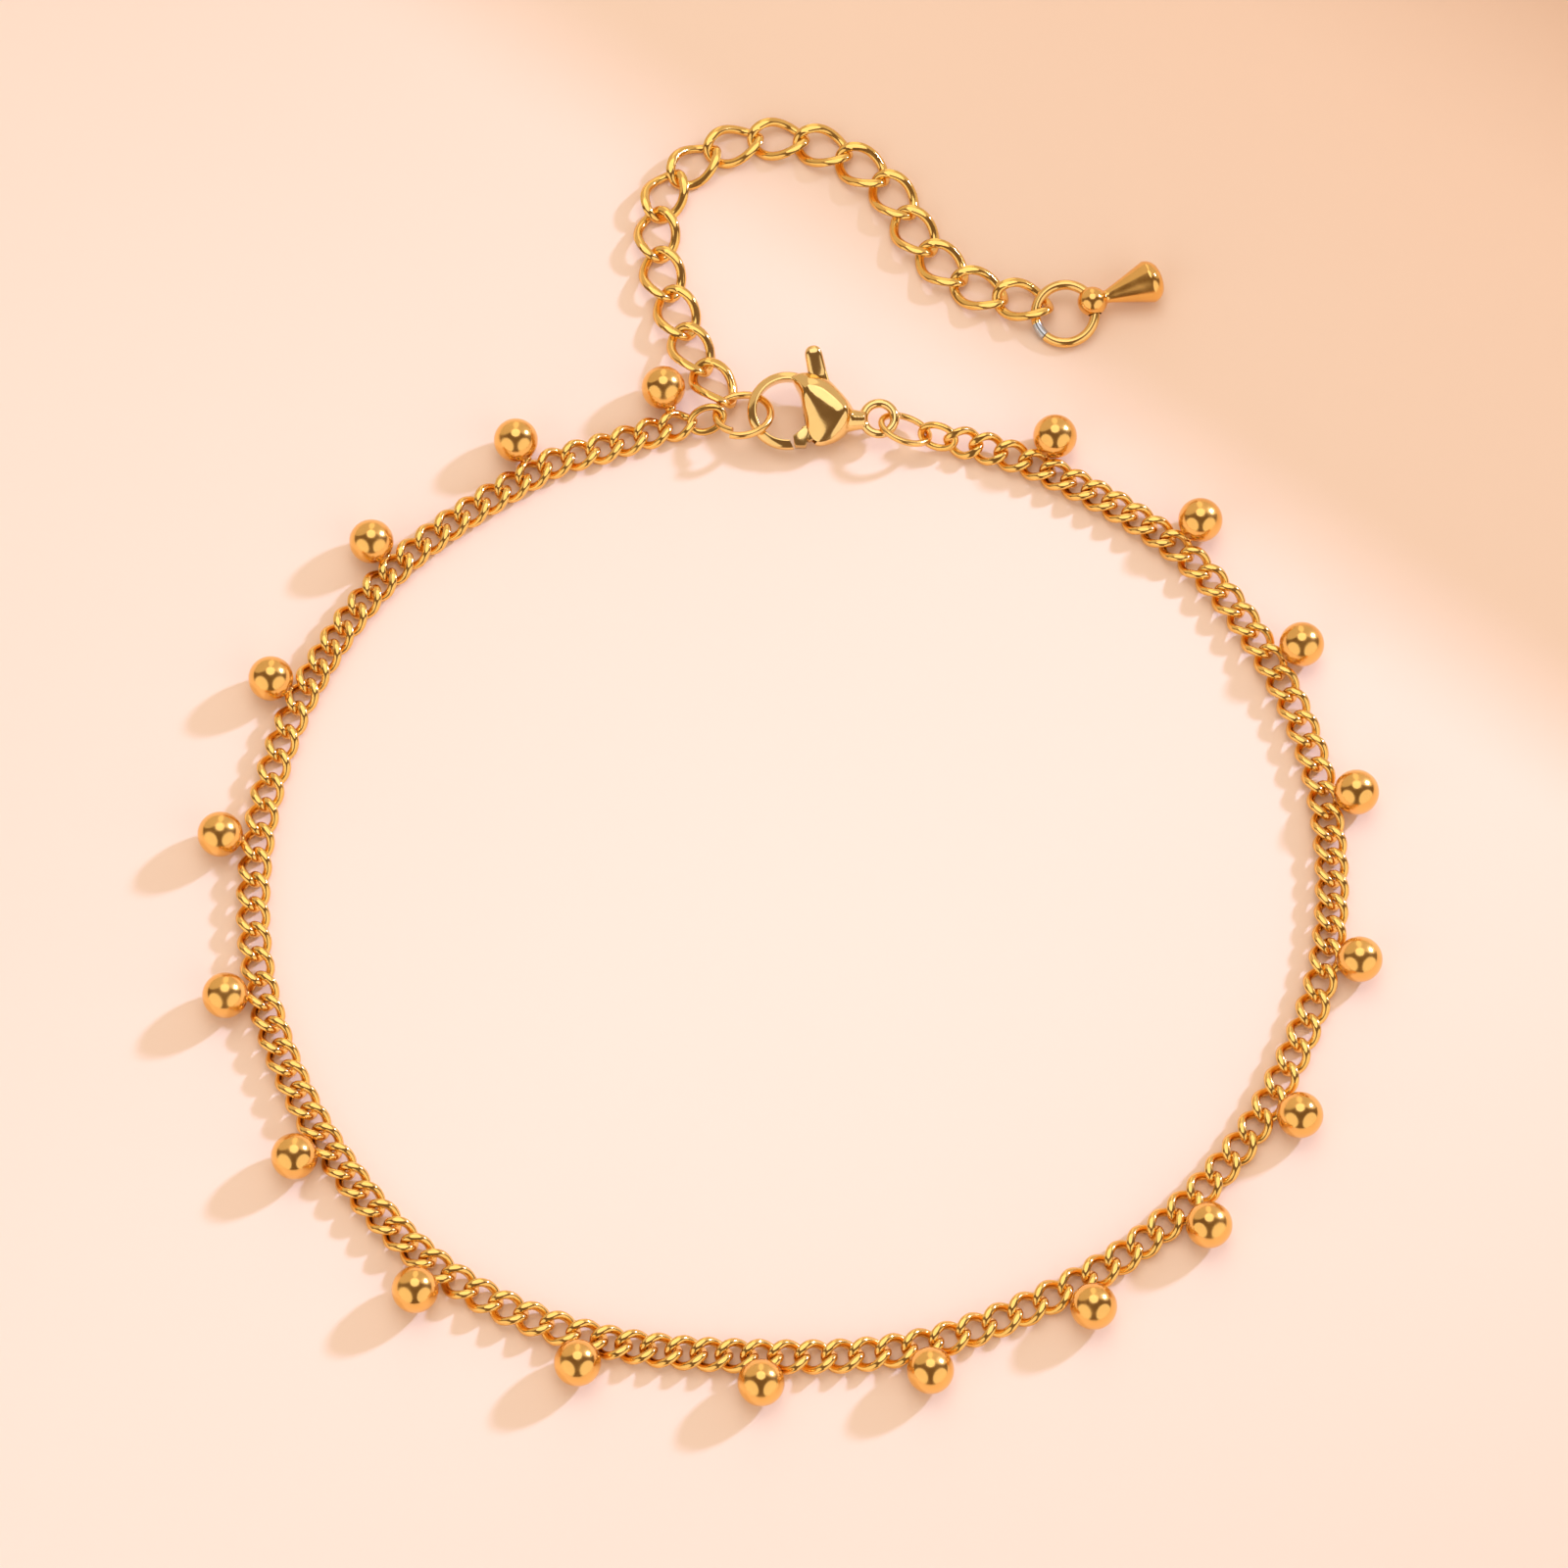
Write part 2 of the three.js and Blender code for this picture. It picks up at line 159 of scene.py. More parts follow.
def file_flat(loop, limit):
    """Files the loop above and below, so that nothing stands higher than the limit.
    The filed faces are left a little rounded."""
    start = limit * FILING_START
    room = limit - start
    for vert in loop.verts:
        over = abs(vert.co.z) - start
        if over > 0:
            vert.co.z = math.copysign(start + room * (1 - math.exp(-over / room)), vert.co.z)


def placed(at, turn):
    """Where a piece goes: turn is its roll, pitch and yaw in degrees."""
    return Matrix.Translation(at) @ Euler([math.radians(a) for a in turn], "XYZ").to_matrix().to_4x4()


def piece(shape, name, material, crease=38):
    """A finished object at the origin, in metres, with smooth faces that part at its creases."""
    bmesh.ops.recalc_face_normals(shape, faces=shape.faces)
    bmesh.ops.scale(shape, vec=(MM, MM, MM), verts=shape.verts)
    mesh = bpy.data.meshes.new(name)
    shape.to_mesh(mesh)
    shape.free()
    mesh.shade_smooth()
    mesh.set_sharp_from_angle(angle=math.radians(crease))
    mesh.materials.append(material)
    thing = bpy.data.objects.new(name, mesh)
    bpy.context.scene.collection.objects.link(thing)
    return thing


def middle_of(node):
    """The middle of a solid's box, in millimetres."""
    low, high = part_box(node)
    return (low + high) / 2 / MM


balls = [middle_of("ball_%02d" % (k + 1)) for k in range(BALL_COUNT)]
feet = []
for k, ball in enumerate(balls):
    along = (balls[min(k + 1, BALL_COUNT - 1)] - balls[max(k - 1, 0)]).normalized()
    feet.append(Vector((ball.x - along.y * BALL_REACH[k], ball.y + along.x * BALL_REACH[k], CHAIN_LEVEL)))
sag = Vector(SAG_POINT + (CHAIN_LEVEL,))
stations = [Vector(LEFT_END)] + feet[:1] + [sag] + feet[1:] + [Vector(RIGHT_END)]
route = []
for k in range(len(stations) - 1):
    before = stations[max(k - 1, 0)]
    after = stations[min(k + 2, len(stations) - 1)]
    here, there = stations[k], stations[k + 1]
    leaving = here + (there - before) / 6
    arriving = there - (after - here) / 6
    bend = geometry.interpolate_bezier(here, leaving, arriving, there, ROUTE_STEPS)
    route.append([Vector(p) for p in bend])
# The sag has no ball, so the bends before and after it are one run of links.
route[1:3] = [route[1] + route[2][1:]]

link_places = []
for bend in route:
    run = [0.0]
    for k in range(len(bend) - 1):
        run.append(run[-1] + (bend[k + 1] - bend[k]).length)
    count = max(1, round(run[-1] / CHAIN_PITCH))
    for n in range(count):
        reach = run[-1] * n / count
        k = max(1, min(bisect.bisect_left(run, reach), len(bend) - 1))
        share = (reach - run[k - 1]) / (run[k] - run[k - 1])
        link_places.append((bend[k - 1].lerp(bend[k], share), (bend[k] - bend[k - 1]).normalized()))

curb_link = wire_loop(CHAIN_HALF_LENGTH, CHAIN_HALF_WIDTH, CHAIN_WIRE, CHAIN_TWIST, steps=44, sides=14)
file_flat(curb_link, CHAIN_FILED)
curb_mesh = bpy.data.meshes.new("curb_link")
curb_link.to_mesh(curb_mesh)
curb_link.free()
chain = bmesh.new()
# The first place is left for the plain link at the left end.
curb_places = link_places[1:]
for k, (at, along) in enumerate(curb_places):
    roll = LEFT_ROLL if k == 0 else 0.0
    from_right = len(curb_places) - 1 - k
    if from_right < len(RIGHT_ROLLS):
        roll = RIGHT_ROLLS[from_right]
    yaw = math.degrees(math.atan2(along.y, along.x))
    pitch = -math.degrees(math.asin(along.z))
    link = curb_mesh.copy()
    link.transform(placed(at, (roll, pitch, yaw)))
    chain.from_mesh(link)
    bpy.data.meshes.remove(link)
for at, turn in ((LEFT_END, LEFT_END_TURN), (RIGHT_END, RIGHT_END_TURN)):
    end_link = wire_loop(END_HALF_LENGTH, END_HALF_WIDTH, END_WIRE, steps=44, sides=14)
    end_link.transform(placed(at, turn))
    link = bpy.data.meshes.new("end_link")
    end_link.to_mesh(link)
    end_link.free()
    chain.from_mesh(link)
    bpy.data.meshes.remove(link)
bpy.data.meshes.remove(curb_mesh)

chain_gold = gold("chain_gold", (0.96, 0.59, 0.155), roughness=0.13, grain=900.0, scratch=0.05, lacquer=0.3)
curb_chain = piece(chain, "curb_chain", chain_gold)
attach(curb_chain, "anklet")
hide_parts("chain")

# Balls: solid round balls, tumbled to a mirror polish and plated with the chain.
# Each is soldered to the outer strand of one link, and the solder has run into a small round fillet.
BALL_RADIUS = 1.5
SOLDER_RADIUS = 0.42
SOLDER_FLAT = 0.6
ball_gold = gold("ball_gold", (0.97, 0.57, 0.165), roughness=0.18, grain=700.0, scratch=0.02)
for k, ball in enumerate(balls):
    bead = bmesh.new()
    bmesh.ops.create_uvsphere(bead, u_segments=48, v_segments=26, radius=BALL_RADIUS,
                              matrix=Matrix.Translation(ball))
    inward = feet[k] - ball
    inward.z = 0
    strand = feet[k] - inward.normalized() * CHAIN_HALF_WIDTH
    to_link = (strand - ball).normalized()
    facing = to_link.to_track_quat("Z", "Y").to_matrix().to_4x4()
    joint = Matrix.Translation(ball + to_link * BALL_RADIUS) @ facing
    bmesh.ops.create_uvsphere(bead, u_segments=16, v_segments=10, radius=SOLDER_RADIUS,
                              matrix=joint @ Matrix.Diagonal((1, 1, SOLDER_FLAT, 1)))
    gold_ball = piece(bead, "gold_ball_%02d" % (k + 1), ball_gold)
    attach(gold_ball, "anklet")
    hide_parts("ball_%02d" % (k + 1))

# Clasp body: a small lobster clasp cast in steel and polished before plating.
# Hook, teardrop body and tail ring are one casting, and a slot through the body holds the lever on a pin.
# The clasp lies tipped a little on its belly.
CLASP_PLACE = placed((-0.97, 23.33, 1.55), (12.0, 0.0, -5.2))
BODY_MIDDLE = Vector((3.3, 0.5))
BODY_HALF_THICK = 1.42
BODY_FULLNESS = 1.12
BODY_LEAN = 0.06
RIDGE_FROM = Vector((1.7, 1.55))
RIDGE_TO = Vector((4.9, 0.0))
RIDGE_INSET = 0.1
FACET_BEARING = math.radians(-145)
FACET_SHIFT = 0.24
RIM_STEPS = 12
RIM_BLUR = [math.radians(step) for step in range(-60, 61, 12)]
RIM_HOLD = 3
BODY_DOME = 0.85
BODY_ROUNDS = 12
ROUNDED_ABOVE = 0.6
BODY_OUTLINE = [(0.85, 2.42), (1.91, 2.83), (3.4, 2.42), (4.29, 1.66), (4.97, 1.0), (5.3, 0.5), (5.38, 0.0),
                (5.28, -0.65), (4.85, -1.4), (4.0, -2.0), (2.95, -2.2), (2.3, -1.41), (1.98, -0.17),
                (1.61, 1.07), (1.1, 1.98)]
HOOK_MIDDLE = (0.85, 0.05, 0)
HOOK_RADIUS = 2.42
HOOK_HALF_WIDTH = 0.33
HOOK_HALF_HEIGHT = 0.4
HOOK_SLOPE = 0.36
HOOK_SQUARE_INSIDE = 0.3
HOOK_SQUARE_OUTSIDE = 0.7
HOOK_FROM = 66
HOOK_TO = 286.5
NECK_FROM = Vector((4.4, -0.3, 0))
NECK_TO = Vector((6.2, -0.16, 0))
NECK_BODY_RADIUS = 0.95
NECK_TAIL_RADIUS = 0.58
TAIL_MIDDLE = (7.13, 0.04, 0)
TAIL_RADIUS = 1.07
TAIL_WIRE = 0.66
PIVOT = (4.1, -0.4)
PIN_RADIUS = 0.35
PIN_LENGTH = 2
POCKET_RADIUS = 0.92
SLOT_HEIGHT = 0.94
CAST_GRAIN = 0.05
CAST_ROUNDS = 9


def solid_of(shape, name):
    """A loose object of that shape, to be worked on or to work another with."""
    mesh = bpy.data.meshes.new(name)
    bmesh.ops.recalc_face_normals(shape, faces=shape.faces)
    shape.to_mesh(mesh)
    shape.free()
    thing = bpy.data.objects.new(name, mesh)
    bpy.context.scene.collection.objects.link(thing)
    return thing


def taken(base):
    """The base with what its modifiers make of it as its own mesh."""
    seen = base.evaluated_get(bpy.context.evaluated_depsgraph_get())
    mesh = bpy.data.meshes.new_from_object(seen)
    base.modifiers.clear()
    old = base.data
    base.data = mesh
    bpy.data.meshes.remove(old)
    return base


def worked(base, shape, operation):
    """The base solid after the shape is joined to it or cut from it."""
    tool = solid_of(shape, "tool")
    step = base.modifiers.new("work", "BOOLEAN")
    step.operation = operation
    step.solver = "EXACT"
    step.object = tool
    taken(base)
    tool_mesh = tool.data
    bpy.data.objects.remove(tool)
    bpy.data.meshes.remove(tool_mesh)
    return base


def shape_of(base):
    """Takes a worked solid back as an open shape."""
    shape = bmesh.new()
    shape.from_mesh(base.data)
    mesh = base.data
    bpy.data.objects.remove(base)
    bpy.data.meshes.remove(mesh)
    return shape


def plate(points, thick, bevel=0.0):
    """A flat plate with the outline of the points, as thick as given about the middle plane."""
    flat = bmesh.new()
    corners = [flat.verts.new((x, y, -thick / 2)) for x, y in points]
    face = flat.faces.new(corners)
    grown = bmesh.ops.extrude_face_region(flat, geom=[face])
    lifted = [g for g in grown["geom"] if isinstance(g, bmesh.types.BMVert)]
    bmesh.ops.translate(flat, vec=(0, 0, thick), verts=lifted)
    bmesh.ops.recalc_face_normals(flat, faces=flat.faces)
    if bevel:
        bmesh.ops.bevel(flat, geom=flat.edges[:], offset=bevel, affect="EDGES",
                        segments=2, profile=0.5, material=-1)
    return flat


outline = [Vector(p) for p in BODY_OUTLINE]
rim = []
for k in range(len(outline)):
    a, b, c, d = (outline[(k + j) % len(outline)] for j in (-1, 0, 1, 2))
    bend = geometry.interpolate_bezier(b, b + (c - a) / 6, c - (d - b) / 6, c, RIM_STEPS)
    rim += [Vector(p) for p in bend[:-1]]
bearing = sorted((math.atan2(p.y - BODY_MIDDLE.y, p.x - BODY_MIDDLE.x), (p.xy - BODY_MIDDLE).length)
                 for p in rim)
angles = [a for a, r in bearing]


def rim_radius(angle):
    """How far the body's edge is from its middle, in that direction."""
    k = bisect.bisect_left(angles, angle)
    a1, r1 = bearing[k % len(bearing)]
    a0, r0 = bearing[k - 1]
    if k == 0:
        a0 -= 2 * math.pi
    if k == len(bearing):
        a1 += 2 * math.pi
    return r0 + (r1 - r0) * (angle - a0) / max(a1 - a0, 1e-9)


ridge = RIDGE_TO - RIDGE_FROM
pillow = bmesh.new()
# Each point of a ball goes to its share of the way from the crest of the body's ridge to its edge.
bmesh.ops.create_uvsphere(pillow, u_segments=96, v_segments=32, radius=1)
for vert in pillow.verts:
    flat = math.hypot(vert.co.x, vert.co.y)
    angle = math.atan2(vert.co.y, vert.co.x)
    near = sum(rim_radius(math.remainder(angle + aside, 2 * math.pi)) for aside in RIM_BLUR) / len(RIM_BLUR)
    toward = Vector((math.cos(angle), math.sin(angle)))
    edge = BODY_MIDDLE + toward * (near + (rim_radius(angle) - near) * flat ** RIM_HOLD)
    share = max(0.0, min(1.0, (edge - RIDGE_FROM).dot(ridge) / ridge.length_squared))
    share = min(1.0, share + FACET_SHIFT * max(0.0, math.cos(angle - FACET_BEARING)))
    crest = RIDGE_FROM.lerp(RIDGE_TO, RIDGE_INSET + (1 - 2 * RIDGE_INSET) * share)
    spot = crest.lerp(edge, flat ** BODY_FULLNESS)
    lean = BODY_LEAN * (spot.y - crest.y) * (1 - flat * flat)
    height = math.copysign(abs(vert.co.z) ** BODY_DOME, vert.co.z)
    vert.co = Vector((spot.x, spot.y, BODY_HALF_THICK * height + lean))
for step in range(BODY_ROUNDS):
    bmesh.ops.smooth_vert(pillow, verts=[v for v in pillow.verts if abs(v.co.z) > ROUNDED_ABOVE], factor=0.5,
                          use_axis_x=True, use_axis_y=True, use_axis_z=True)
clasp = solid_of(pillow, "clasp_casting")

hook = bmesh.new()
bmesh.ops.create_circle(hook, segments=24, radius=1)
for vert in hook.verts:
    square = HOOK_SQUARE_INSIDE if vert.co.x < 0 else HOOK_SQUARE_OUTSIDE
    x = math.copysign(abs(vert.co.x) ** square, vert.co.x) * HOOK_HALF_WIDTH
    z = math.copysign(abs(vert.co.y) ** square, vert.co.y) * (HOOK_HALF_HEIGHT - HOOK_SLOPE * x)
    vert.co = Vector((HOOK_RADIUS + x, 0, z))
hook_start = Matrix.Rotation(math.radians(HOOK_FROM), 3, "Z")
bmesh.ops.rotate(hook, cent=(0, 0, 0), matrix=hook_start, verts=hook.verts)
bmesh.ops.spin(hook, geom=hook.verts[:] + hook.edges[:], cent=(0, 0, 0), axis=(0, 0, 1),
               angle=math.radians(HOOK_TO - HOOK_FROM), steps=56, use_merge=False)
bmesh.ops.holes_fill(hook, edges=[e for e in hook.edges if e.is_boundary], sides=0)
bmesh.ops.translate(hook, vec=HOOK_MIDDLE, verts=hook.verts)
clasp = worked(clasp, hook, "UNION")

neck = bmesh.new()
neck_way = NECK_TO - NECK_FROM
neck_turn = neck_way.to_track_quat("Z", "Y").to_matrix().to_4x4()
bmesh.ops.create_cone(neck, cap_ends=True, segments=32, radius1=NECK_BODY_RADIUS, radius2=NECK_TAIL_RADIUS,
                      depth=neck_way.length, matrix=Matrix.Translation((NECK_FROM + NECK_TO) / 2) @ neck_turn)
clasp = worked(clasp, neck, "UNION")
tail = wire_loop(TAIL_RADIUS, TAIL_RADIUS, TAIL_WIRE, steps=40, sides=14)
bmesh.ops.translate(tail, vec=TAIL_MIDDLE, verts=tail.verts)
clasp = worked(clasp, tail, "UNION")
skin = clasp.modifiers.new("skin", "REMESH")
skin.mode = "VOXEL"
skin.voxel_size = CAST_GRAIN
tumbled = clasp.modifiers.new("tumbled", "SMOOTH")
tumbled.factor = 0.5
tumbled.iterations = CAST_ROUNDS
clasp = taken(clasp)


def about_pin(angle, distance):
    """A point at that angle and distance from the lever's pin."""
    turn = math.radians(angle)
    return (PIVOT[0] + distance * math.cos(turn), PIVOT[1] + distance * math.sin(turn))


def rod_on_pin(radius, length, sides):
    """A round rod along the lever's pin, as long as given about the middle plane."""
    rod = bmesh.new()
    bmesh.ops.create_cone(rod, cap_ends=True, segments=sides, radius1=radius, radius2=radius,
                          depth=length, matrix=Matrix.Translation(PIVOT + (0,)))
    return rod


# The slot's room for the lever's two arms: its corners, by angle about the pin in degrees and by distance.
TAB_ROOM = [(205, 0.64), (134, 2.6), (130, 3.8), (101, 4.6), (76, 3.8), (72, 2.6), (5, 0.64)]
GATE_ROOM = [(101, 0.64), (170, 2.2), (176, 3.38), (190, 3.38), (205, 3.38), (220, 3.38), (233, 3.38),
             (236, 2.2), (301, 0.64)]
for room in (TAB_ROOM, GATE_ROOM):
    fan = plate([about_pin(angle, distance) for angle, distance in room], SLOT_HEIGHT)
    clasp = worked(clasp, fan, "DIFFERENCE")
clasp = worked(clasp, rod_on_pin(POCKET_RADIUS, SLOT_HEIGHT, sides=32), "DIFFERENCE")
clasp = worked(clasp, rod_on_pin(PIN_RADIUS, PIN_LENGTH, sides=20), "UNION")

clasp_gold = gold("clasp_gold", (0.95, 0.65, 0.25), roughness=0.11, grain=700.0, scratch=0.02)
casting = shape_of(clasp)
casting.transform(CLASP_PLACE)
clasp_piece = piece(casting, "cast_clasp", clasp_gold)
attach(clasp_piece, "anklet")
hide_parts("clasp_body")

# Clasp lever: cast like the body, with a round thumb tab above and a gate below that shuts the hook.
# It turns on the pin through the body, and a hidden spring pushes the gate back against the hook's tip.
TAB_BASE = Vector((2.68, 2.8, 0))
TAB_TIP = Vector((2.25, 4.2, 0.45))
TAB_PROFILE = [(0.5, -0.34), (0.58, -0.24), (0.63, -0.08), (0.64, 0.4), (0.62, 0.9), (0.61, 1.25),
               (0.59, 1.48), (0.52, 1.7), (0.41, 1.85), (0.25, 1.96), (0.0, 2.0)]
TAB_FLAT = 0.78
TAB_SQUARE = 0.65
LEVER_THICK = 0.78
ARM_HALF_AT_PIN = 0.5
ARM_HALF_AT_TAB = 0.62
ARM_HALF_AT_GATE = 0.55
ARM_BEVEL = 0.06
GATE_MIDDLE = (2.2, -1.55)
GATE_BLOCK = [(1.58, -2.45), (2.35, -2.4), (2.5, -1.2), (2.1, -1.05), (1.4, -1.75)]
GATE_THICK = 0.9
GATE_BEVEL = 0.07
HUB_RADIUS = 0.8
EYELET_RADIUS = 0.43


def lathe(profile, steps):
    """A solid turned from a profile of radius and height, about Z."""
    turned = bmesh.new()
    ring = [turned.verts.new((radius, 0, height)) for radius, height in profile]
    for a, b in zip(ring, ring[1:]):
        turned.edges.new((a, b))
    bmesh.ops.spin(turned, geom=turned.verts[:] + turned.edges[:], cent=(0, 0, 0), axis=(0, 0, 1),
                   angle=2 * math.pi, steps=steps, use_merge=True)
    bmesh.ops.remove_doubles(turned, verts=turned.verts, dist=1e-5)
    open_edges = [e for e in turned.edges if e.is_boundary]
    if open_edges:
        bmesh.ops.holes_fill(turned, edges=open_edges, sides=0)
    bmesh.ops.recalc_face_normals(turned, faces=turned.faces)
    return turned


tab_lean = (TAB_TIP - TAB_BASE).to_track_quat("Z", "Y").to_matrix().to_4x4()
tab = lathe(TAB_PROFILE, 32)
for vert in tab.verts:
    radius = math.hypot(vert.co.x, vert.co.y)
    if radius > 1e-6:
        vert.co.x = math.copysign(abs(vert.co.x / radius) ** TAB_SQUARE, vert.co.x) * radius
        vert.co.y = math.copysign(abs(vert.co.y / radius) ** TAB_SQUARE, vert.co.y) * radius * TAB_FLAT
tab.transform(Matrix.Translation(TAB_BASE) @ tab_lean)
lever = solid_of(tab, "lever_casting")


def arm(end, half_end):
    """A flat arm of the lever, from the pin to that point, with half its width there."""
    a, b = Vector(PIVOT), Vector(end)
    side = (b - a).normalized().orthogonal()
    corners = [a + side * ARM_HALF_AT_PIN, a - side * ARM_HALF_AT_PIN,
               b - side * half_end, b + side * half_end]
    return plate(corners, LEVER_THICK, ARM_BEVEL)


lever = worked(lever, arm(TAB_BASE.xy, ARM_HALF_AT_TAB), "UNION")
lever = worked(lever, arm(GATE_MIDDLE, ARM_HALF_AT_GATE), "UNION")
lever = worked(lever, plate(GATE_BLOCK, GATE_THICK, GATE_BEVEL), "UNION")
lever = worked(lever, rod_on_pin(HUB_RADIUS, LEVER_THICK, sides=28), "UNION")
lever = worked(lever, rod_on_pin(EYELET_RADIUS, PIN_LENGTH, sides=20), "DIFFERENCE")
lever_shape = shape_of(lever)
lever_shape.transform(CLASP_PLACE)
lever_gold = gold("lever_gold", (0.93, 0.64, 0.25), roughness=0.16, grain=700.0, scratch=0.02)
lever_piece = piece(lever_shape, "cast_lever", lever_gold)
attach(lever_piece, "lever")
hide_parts("lever")

# Clasp ring: a jump ring of round plated wire, bent until its cut ends meet, one a little outside the other.
# The hook holds it, and the chain's left end and the extender hang on it.
CLASP_RING_AT = (-3.22, 23.11, 1.43)
CLASP_RING_TURN = Matrix.Rotation(math.radians(-19.1), 4, "X") @ Matrix.Rotation(math.radians(-3.9), 4, "Y")
CLASP_RING_RADIUS = 1.9
CLASP_RING_WIRE = 0.52
CLASP_RING_CUT = 1.5
CLASP_RING_CUT_AT = 248
CLASP_RING_SPIRAL = -0.36
ring_gold = gold("ring_gold", (0.96, 0.61, 0.2), roughness=0.17, grain=900.0, scratch=0.04)
clasp_ring = wire_loop(CLASP_RING_RADIUS, CLASP_RING_RADIUS, CLASP_RING_WIRE, steps=72, sides=16,
                       cut=CLASP_RING_CUT, cut_at=CLASP_RING_CUT_AT, spiral=CLASP_RING_SPIRAL)
clasp_ring.transform(Matrix.Translation(CLASP_RING_AT) @ CLASP_RING_TURN)
clasp_ring_piece = piece(clasp_ring, "jump_ring_clasp", ring_gold)
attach(clasp_ring_piece, "anklet")
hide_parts("clasp_ring")

# Oval ring: an oval jump ring of thinner plated wire, closed so that its cut ends almost meet.
# It ties the clasp's tail ring to the link at the chain's right end.
OVAL_RING_PLACE = placed((7.91, 21.98, 1.4), (-28.2, 5.8, -21.3))
OVAL_HALF_LENGTH = 1.71
OVAL_HALF_WIDTH = 1.35
OVAL_WIRE = 0.46
OVAL_CUT = 2.2
OVAL_CUT_AT = 115
oval_ring = wire_loop(OVAL_HALF_LENGTH, OVAL_HALF_WIDTH, OVAL_WIRE, steps=72, sides=16,
                      cut=OVAL_CUT, cut_at=OVAL_CUT_AT)
oval_ring.transform(OVAL_RING_PLACE)
oval_ring_piece = piece(oval_ring, "jump_ring_oval", ring_gold)
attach(oval_ring_piece, "anklet")
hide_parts("oval_ring")

# Extender: larger open curb links of flattened plated wire, loosely linked so that the clasp can take any.
# It lies on the table in a curve from the clasp ring to the end ring, and its end links lean on the rings.
EXTENDER_COUNT = 16
EXTENDER_HALF_LENGTH = 1.88
EXTENDER_HALF_WIDTH = 1.31
EXTENDER_WIRE = 0.54
EXTENDER_WIDE = 1.25
EXTENDER_TWIST = 38
EXTENDER_FILED = 0.6
FIRST_TURN = (18.5, 5.7, 120.6)
SECOND_ROLL = 11.9
LAST_ROLL = -3.9
extender_middles = [middle_of("extender_%02d" % (k + 1)) for k in range(EXTENDER_COUNT)]
for k, at in enumerate(extender_middles):
    onward = extender_middles[min(k + 1, EXTENDER_COUNT - 1)] - extender_middles[max(k - 1, 0)]
    turn = (0.0, 0.0, math.degrees(math.atan2(onward.y, onward.x)))
    if k == 0:
        turn = FIRST_TURN
    if k == 1:
        turn = (SECOND_ROLL, 0.0, turn[2])
    if k == EXTENDER_COUNT - 1:
        turn = (LAST_ROLL, 0.0, turn[2])
    open_link = wire_loop(EXTENDER_HALF_LENGTH, EXTENDER_HALF_WIDTH, EXTENDER_WIRE, EXTENDER_TWIST,
                          steps=48, sides=12, wide=EXTENDER_WIDE)
    file_flat(open_link, EXTENDER_FILED)
    open_link.transform(placed(at, turn))
    link_piece = piece(open_link, "extender_link_%02d" % (k + 1), chain_gold)
    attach(link_piece, "anklet")
    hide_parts("extender_%02d" % (k + 1))

# End ring: a heavier jump ring at the end of the extender. Its plate is worn through on one short stretch,
# where the bare steel shows between the cut and the last link.
END_RING_AT = Vector((19.03, 31.09, 0.93))
END_RING_TURN = Matrix.Rotation(math.radians(13.9), 4, "X") @ Matrix.Rotation(math.radians(-5.6), 4, "Y")
END_RING_RADIUS = 2.05
END_RING_WIRE = 0.7
BARE_FROM = 198
BARE_TO = 228
END_RING_CUT = 2.0
bare_steel = gold("bare_steel", (0.55, 0.57, 0.6), roughness=0.16, grain=900.0, scratch=0.05)
end_ring = wire_loop(END_RING_RADIUS, END_RING_RADIUS, END_RING_WIRE, steps=90, sides=18,
                     cut=END_RING_CUT, cut_at=BARE_TO)
for face in end_ring.faces:
    spot = face.calc_center_median()
    if BARE_FROM < math.degrees(math.atan2(spot.y, spot.x)) % 360 < BARE_TO:
        face.material_index = 1
end_ring.transform(Matrix.Translation(END_RING_AT) @ END_RING_TURN)
end_ring_piece = piece(end_ring, "jump_ring_end", ring_gold)
end_ring_piece.data.materials.append(bare_steel)
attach(end_ring_piece, "anklet")
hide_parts("end_ring")

# Drop: turned from one rod, a small ball drilled as an eye and a cone that swells to a rounded end.
# The end ring runs through the eye, and the drop lies on the table.
EYE_ANGLE = math.radians(23.5)
EYE_PLAY = 0.2
DROP_TURN = (0.0, -2.0, 20.6)
DROP_PROFILE = [(0.0, -1.035), (0.27, -1.0), (0.52, -0.895), (0.73, -0.732), (0.896, -0.518), (1.0, -0.268),
                (1.035, 0.0), (1.0, 0.268), (0.896, 0.518), (0.73, 0.732), (0.56, 0.87), (0.46, 0.97),
                (0.46, 1.08), (0.5, 1.24), (0.58, 1.48), (0.88, 2.4), (1.2, 3.32), (1.45, 4.05), (1.48, 4.15),
                (1.46, 4.28), (1.4, 4.47), (1.25, 4.7), (1.0, 4.91), (0.65, 5.04), (0.3, 5.09), (0.0, 5.1)]
eye = Matrix.Translation(END_RING_AT) @ END_RING_TURN @ Vector(
    (END_RING_RADIUS * math.cos(EYE_ANGLE), END_RING_RADIUS * math.sin(EYE_ANGLE), 0))
drop = lathe(DROP_PROFILE, 48)
drop.transform(placed(eye, DROP_TURN) @ Matrix.Rotation(math.pi / 2, 4, "Y"))
drill = wire_loop(END_RING_RADIUS, END_RING_RADIUS, END_RING_WIRE + EYE_PLAY, steps=48, sides=20)
drill.transform(Matrix.Translation(END_RING_AT) @ END_RING_TURN)
drop_solid = worked(solid_of(drop, "drop_blank"), drill, "DIFFERENCE")
drop_piece = piece(shape_of(drop_solid), "turned_drop", ball_gold, crease=50)
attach(drop_piece, "anklet")
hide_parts("drop")

